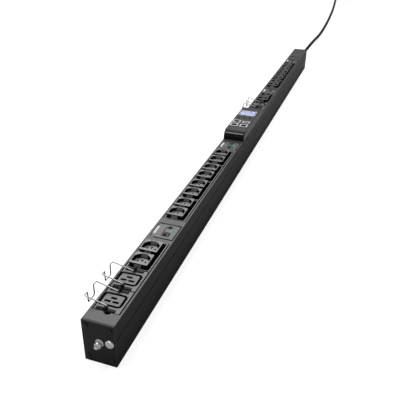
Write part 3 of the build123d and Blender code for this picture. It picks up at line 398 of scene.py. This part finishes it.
GREEN_MARK = ((0.0064, 0.0000, 0.07457), (0.0104, 0.0140, 0.07480))
FAR_ROCKER_SHADE = ((0.0004, 0.0112, 0.07457), (0.0064, 0.0140, 0.07482))
NEAR_ROCKER_SHADE_CENTRE = (0.0035, -0.01317, 0.07729)
NEAR_ROCKER_SHADE_SIZE = (0.0062, 0.0002, 0.0026)
NEAR_ROCKER_SHADE_LEAN = -25.5
RED_MARKS = (
    ((0.0152, 0.0040, 0.0756), (0.0168, 0.0056, 0.0758)),
    ((0.0067, 0.0200, 0.0756), (0.0083, 0.0216, 0.0758)),
)
mark_green = surface("mark_green", (0.035, 0.22, 0.16), 0.5)
mark_red = surface("mark_red", (0.55, 0.03, 0.03), 0.45)
for number, middle in enumerate(BREAKER_MIDDLES, 1):
    shape = bmesh.new()
    add_block(shape, *GREEN_MARK, y=middle)
    finished(f"breaker_green_mark_{number}", shape, mark_green, f"rocker_{number}")
    shape = bmesh.new()
    add_block(shape, *FAR_ROCKER_SHADE, y=middle)
    x, y, z = NEAR_ROCKER_SHADE_CENTRE
    lean = Matrix.Rotation(radians(NEAR_ROCKER_SHADE_LEAN), 4, "X")
    place = Matrix.Translation((x, middle + y, z)) @ lean @ Matrix.Diagonal((*NEAR_ROCKER_SHADE_SIZE, 1.0))
    bmesh.ops.create_cube(shape, size=1.0, matrix=place)
    finished(f"breaker_rocker_shade_{number}", shape, deep_shade_black, f"rocker_{number}")
shape = bmesh.new()
for middle in BREAKER_MIDDLES:
    for low, high in RED_MARKS:
        add_block(shape, low, high, y=middle)
finished("breaker_red_marks", shape, mark_red, "bar")


# Power path inside: copper bars and links on moulded supports, with a terminal block.
copper = surface("copper", (0.72, 0.36, 0.20), 0.3, metallic=1.0)
moulding = surface("moulding", (0.42, 0.40, 0.35), 0.55)
dress(copper, "breaker_links", "line_busbars", "earth_busbar", "neutral_busbar", "feed_busbar")
dress(moulding, "busbar_supports", "terminal_block", "board_posts")
dress(zinc, "terminal_screws")


# Controller: a moulded housing with a rounded near end over a board with the lit screen, three
# buttons and four upright jacks in tinned sleeves.
NEAR_CURVE_Y = -0.159
SHADED_CURVE_LIMIT = -0.12
housing_nylon = surface("housing_nylon", (0.014, 0.014, 0.015), 0.30, specular=0.4, grain=1100.0)
board_green = surface("board_green", (0.012, 0.10, 0.04), 0.45)
button_grey = surface("button_grey", (0.006, 0.006, 0.006), 0.5, specular=0.15)
jack_black = surface("jack_black", (0.012, 0.012, 0.012), 0.4)
tinned = surface("tinned", (0.62, 0.62, 0.60), 0.3, metallic=1.0)
window_clear = surface("window_clear", (0.9, 0.93, 0.95), 0.08)
window_clear.node_tree.nodes["Principled BSDF"].inputs["Transmission Weight"].default_value = 1.0
screen_lit = surface("screen_lit", (0.34, 0.34, 0.44), 0.4, specular=0.3)
glow = screen_lit.node_tree.nodes["Principled BSDF"]
glow.inputs["Emission Color"].default_value = (0.60, 0.62, 0.95, 1.0)
glow.inputs["Emission Strength"].default_value = 0.80
dress(housing_nylon, "controller_housing")
# The rounded near end gets a darker, duller copy of the housing's black, painted shade.
near_end_shade_black = surface("near_end_shade_black", (0.005, 0.005, 0.005), 0.4, specular=0.12)
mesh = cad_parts["controller_housing"].data
mesh.materials.append(near_end_shade_black)
for face in mesh.polygons:
    if face.center.y < NEAR_CURVE_Y and face.normal.y < SHADED_CURVE_LIMIT:
        face.material_index = 1
dress(board_green, "controller_board")
dress(lug_nylon, "button_switches", "gland_body", "gland_locknut")
dress(button_grey, *[f"control_button_{number}" for number in (1, 2, 3)])
dress(jack_black, "network_jacks", "usb_jack")
dress(tinned, "jack_shields")
dress(window_clear, "screen_window")
dress(screen_lit, "screen_module")


# Screen reading and jack rims: dark violet strokes on the lit panel under the window, and pale lines
# round the jacks' mouths, a painted highlight on their edges.
SCREEN_Y = -0.034
READING_Z = (0.09731, 0.09736)
DIGIT_SIZE = (0.0046, 0.0090)
STROKE = 0.0010
DIGITS = "1240"
DIGIT_STEP = 0.0068
SEGMENTS = {"0": "abcdef", "1": "bc", "2": "abged", "4": "fgbc"}
BAR_ROWS = (-0.0112, 0.0112)
ROW_HALF_W = 0.014
violet = surface("violet", (0.16, 0.13, 0.52), 0.4)
shape = bmesh.new()
w, h = DIGIT_SIZE
strokes = {
    "a": ((0, h), (w, h)),
    "b": ((w, h / 2), (w, h)),
    "c": ((w, 0), (w, h / 2)),
    "d": ((0, 0), (w, 0)),
    "e": ((0, 0), (0, h / 2)),
    "f": ((0, h / 2), (0, h)),
    "g": ((0, h / 2), (w, h / 2)),
}
for place, digit in enumerate(DIGITS):
    x = (place - len(DIGITS) / 2) * DIGIT_STEP + (DIGIT_STEP - w) / 2
    for segment in SEGMENTS[digit]:
        (x0, y0), (x1, y1) = strokes[segment]
        low = (x + x0 - STROKE / 2, SCREEN_Y - h / 2 + y0 - STROKE / 2, READING_Z[0])
        high = (x + x1 + STROKE / 2, SCREEN_Y - h / 2 + y1 + STROKE / 2, READING_Z[1])
        add_block(shape, low, high)
for row in BAR_ROWS:
    low = (-ROW_HALF_W, SCREEN_Y + row - STROKE / 3, READING_Z[0])
    add_block(shape, low, (ROW_HALF_W, SCREEN_Y + row + STROKE / 3, READING_Z[1]))
finished("screen_reading", shape, violet, "bar")

JACK_RIM_HIGHLIGHTS = (
    ((-0.0125, -0.129), (0.0158, 0.0142)),
    ((-0.0125, -0.103), (0.0158, 0.0142)),
    ((0.0125, -0.129), (0.0158, 0.0142)),
    ((0.0125, -0.103), (0.0154, 0.0082)),
)
RIM_W = 0.0016
RIM_Z = (0.0987, 0.0992)
# Pale lines round the jacks' mouths, a painted highlight.
rim_highlight = surface("rim_highlight", (0.80, 0.80, 0.80), 0.4)
shape = bmesh.new()
for (x, y), (wide, deep) in JACK_RIM_HIGHLIGHTS:
    in_x, in_y = wide / 2, deep / 2
    out_x, out_y = in_x + RIM_W, in_y + RIM_W
    add_block(shape, (x - out_x, y - out_y, RIM_Z[0]), (x + out_x, y - in_y, RIM_Z[1]))
    add_block(shape, (x - out_x, y + in_y, RIM_Z[0]), (x + out_x, y + out_y, RIM_Z[1]))
    add_block(shape, (x - out_x, y - in_y, RIM_Z[0]), (x - in_x, y + in_y, RIM_Z[1]))
    add_block(shape, (x + in_x, y - in_y, RIM_Z[0]), (x + out_x, y + in_y, RIM_Z[1]))
finished("jack_rim_highlights", shape, rim_highlight, "bar")


# Screen surround, button wells and a strip on the rounded near end: thin lines on the controller's
# housing. The surround is a moulded line; the dark rings round the buttons are painted shade in
# their wells, and the pale strip across the rounded near end is a painted highlight.
BUTTON_PLACES = ((-0.015, -0.072), (0.0, -0.072), (0.015, -0.072))
WELL = 0.0028
WELL_EDGE = 0.0013
WINDOW_HALF = (0.0206, 0.01735)
SURROUND_EDGE = 0.0012
SURROUND_R = 0.001
TOP_LEVEL = 0.0988
HIGHLIGHT_ANGLES = (45.0, 51.0)
HIGHLIGHT_CENTRE = (NEAR_CURVE_Y, 0.0798)
HIGHLIGHT_R = 0.0190
HIGHLIGHT_THICK = 0.00015
HIGHLIGHT_HALF_W = 0.0225
shape = bmesh.new()
# Dark rings round the buttons, painted shade in their wells.
for place in BUTTON_PLACES:
    add_ring(shape, place, (WELL, WELL), WELL_EDGE, WELL, TOP_LEVEL)
finished("button_well_shades", shape, shade_and_joint_black, "bar")
surround_pale = surface("surround_pale", (0.70, 0.70, 0.82), 0.45)
shape = bmesh.new()
add_ring(shape, (0.0, SCREEN_Y), WINDOW_HALF, SURROUND_EDGE, SURROUND_R, TOP_LEVEL)
finished("screen_surround", shape, surround_pale, "bar")
# Pale strip across the rounded near end, a painted highlight.
near_end_highlight = surface("near_end_highlight", (0.26, 0.26, 0.265), 0.35)
shape = bmesh.new()
corners = []
for x in (-HIGHLIGHT_HALF_W, HIGHLIGHT_HALF_W):
    for angle in HIGHLIGHT_ANGLES:
        for radius in (HIGHLIGHT_R, HIGHLIGHT_R + HIGHLIGHT_THICK):
            y = HIGHLIGHT_CENTRE[0] - radius * sin(radians(angle))
            z = HIGHLIGHT_CENTRE[1] + radius * cos(radians(angle))
            corners.append(shape.verts.new((x, y, z)))
bmesh.ops.convex_hull(shape, input=corners)
finished("controller_near_end_highlight", shape, near_end_highlight, "bar")


# Jack contacts: eight gilt springs that slope down one wall of each network jack, and four flat
# pads on the smaller jack's tongue.
GILT_COUNT = 8
GILT_PITCH = 0.00102
GILT_SIZE = (0.0005, 0.0003, 0.0072)
GILT_LEAN = 18.0
GILT_PLACES = ((-0.0125, -0.1320, 0.0915), (-0.0125, -0.1060, 0.0915), (0.0125, -0.1320, 0.0915))
PAD_COUNT = 4
PAD_PITCH = 0.0025
PAD_SIZE = (0.0011, 0.0002, 0.0070)
PAD_PLACE = (0.0125, -0.1025, 0.0930)


def add_row(shape, count, pitch, size, place, lean=0.0):
    """A row of small leaning blocks across the bar."""
    block = Matrix.Rotation(radians(lean), 4, "X") @ Matrix.Diagonal((*size, 1.0))
    for step in range(count):
        x = place[0] + (step - (count - 1) / 2) * pitch
        at = Matrix.Translation((x, place[1], place[2]))
        bmesh.ops.create_cube(shape, size=1.0, matrix=at @ block)


gilt = surface("gilt", (0.80, 0.55, 0.20), 0.25, metallic=1.0)
shape = bmesh.new()
for place in GILT_PLACES:
    add_row(shape, GILT_COUNT, GILT_PITCH, GILT_SIZE, place, lean=GILT_LEAN)
add_row(shape, PAD_COUNT, PAD_PITCH, PAD_SIZE, PAD_PLACE)
finished("jack_contacts", shape, gilt, "bar")


# Floor and light: a plain pale floor that keeps the shadow, one broad soft light beyond the bar for
# the sheen on its front, one overhead and a weak one from the camera's side.
FLOOR_HALF = 20.0
FLOOR_TONE = 0.40
FLOOR_GLOW = 0.80
AMBIENT = 0.33
floor_mesh = bpy.data.meshes.new("floor")
shape = bmesh.new()
bmesh.ops.create_grid(shape, x_segments=1, y_segments=1, size=FLOOR_HALF)
shape.to_mesh(floor_mesh)
shape.free()
floor = bpy.data.objects.new("floor", floor_mesh)
bpy.context.scene.collection.objects.link(floor)
floor_paint = bpy.data.materials.new("floor_paint")
floor_paint.use_nodes = True
nodes, links = floor_paint.node_tree.nodes, floor_paint.node_tree.links
shader = nodes["Principled BSDF"]
shader.inputs["Base Color"].default_value = (FLOOR_TONE, FLOOR_TONE, FLOOR_TONE, 1.0)
shader.inputs["Roughness"].default_value = 0.9
shader.inputs["Specular IOR Level"].default_value = 0.1
lit = nodes.new("ShaderNodeEmission")
lit.inputs["Color"].default_value = (1.0, 1.0, 1.0, 1.0)
seen = nodes.new("ShaderNodeLightPath")
added = nodes.new("ShaderNodeAddShader")
strength = nodes.new("ShaderNodeMath")
strength.operation = "MULTIPLY"
strength.inputs[1].default_value = FLOOR_GLOW
links.new(seen.outputs["Is Camera Ray"], strength.inputs[0])
links.new(strength.outputs["Value"], lit.inputs["Strength"])
links.new(shader.outputs["BSDF"], added.inputs[0])
links.new(lit.outputs["Emission"], added.inputs[1])
links.new(added.outputs["Shader"], nodes["Material Output"].inputs["Surface"])
floor_mesh.materials.append(floor_paint)

world = bpy.data.worlds.new("studio")
bpy.context.scene.world = world
world.use_nodes = True
nodes, links = world.node_tree.nodes, world.node_tree.links
ambient = nodes["Background"]
ambient.inputs["Color"].default_value = (1.0, 1.0, 1.0, 1.0)
ambient.inputs["Strength"].default_value = AMBIENT
clear = nodes.new("ShaderNodeBackground")
clear.inputs["Color"].default_value = (1.0, 1.0, 1.0, 1.0)
clear.inputs["Strength"].default_value = 1.0
seen = nodes.new("ShaderNodeLightPath")
mixed = nodes.new("ShaderNodeMixShader")
links.new(seen.outputs["Is Camera Ray"], mixed.inputs["Fac"])
links.new(ambient.outputs["Background"], mixed.inputs[1])
links.new(clear.outputs["Background"], mixed.inputs[2])
links.new(mixed.outputs["Shader"], nodes["World Output"].inputs["Surface"])


def soft_light(name, place, aim, size, watts):
    """A square lamp that faces a point and that the camera doesn't see."""
    data = bpy.data.lights.new(name, "AREA")
    data.size = size
    data.energy = watts
    lamp = bpy.data.objects.new(name, data)
    lamp.location = place
    way = Vector(aim) - Vector(place)
    lamp.rotation_euler = way.to_track_quat("-Z", "Y").to_euler()
    lamp.visible_camera = False
    bpy.context.scene.collection.objects.link(lamp)


soft_light("far_softbox", (-0.7, 1.1, 2.3), (0.0, -0.5, 0.05), 2.2, 70.0)
soft_light("overhead", (-0.5, -1.0, 2.4), (0.0, -0.2, 0.0), 0.5, 14.0)
soft_light("near_fill", (0.2, -3.0, 0.9), (0.0, 0.0, 0.05), 1.0, 6.0)
bpy.context.scene.view_settings.view_transform = "Standard"
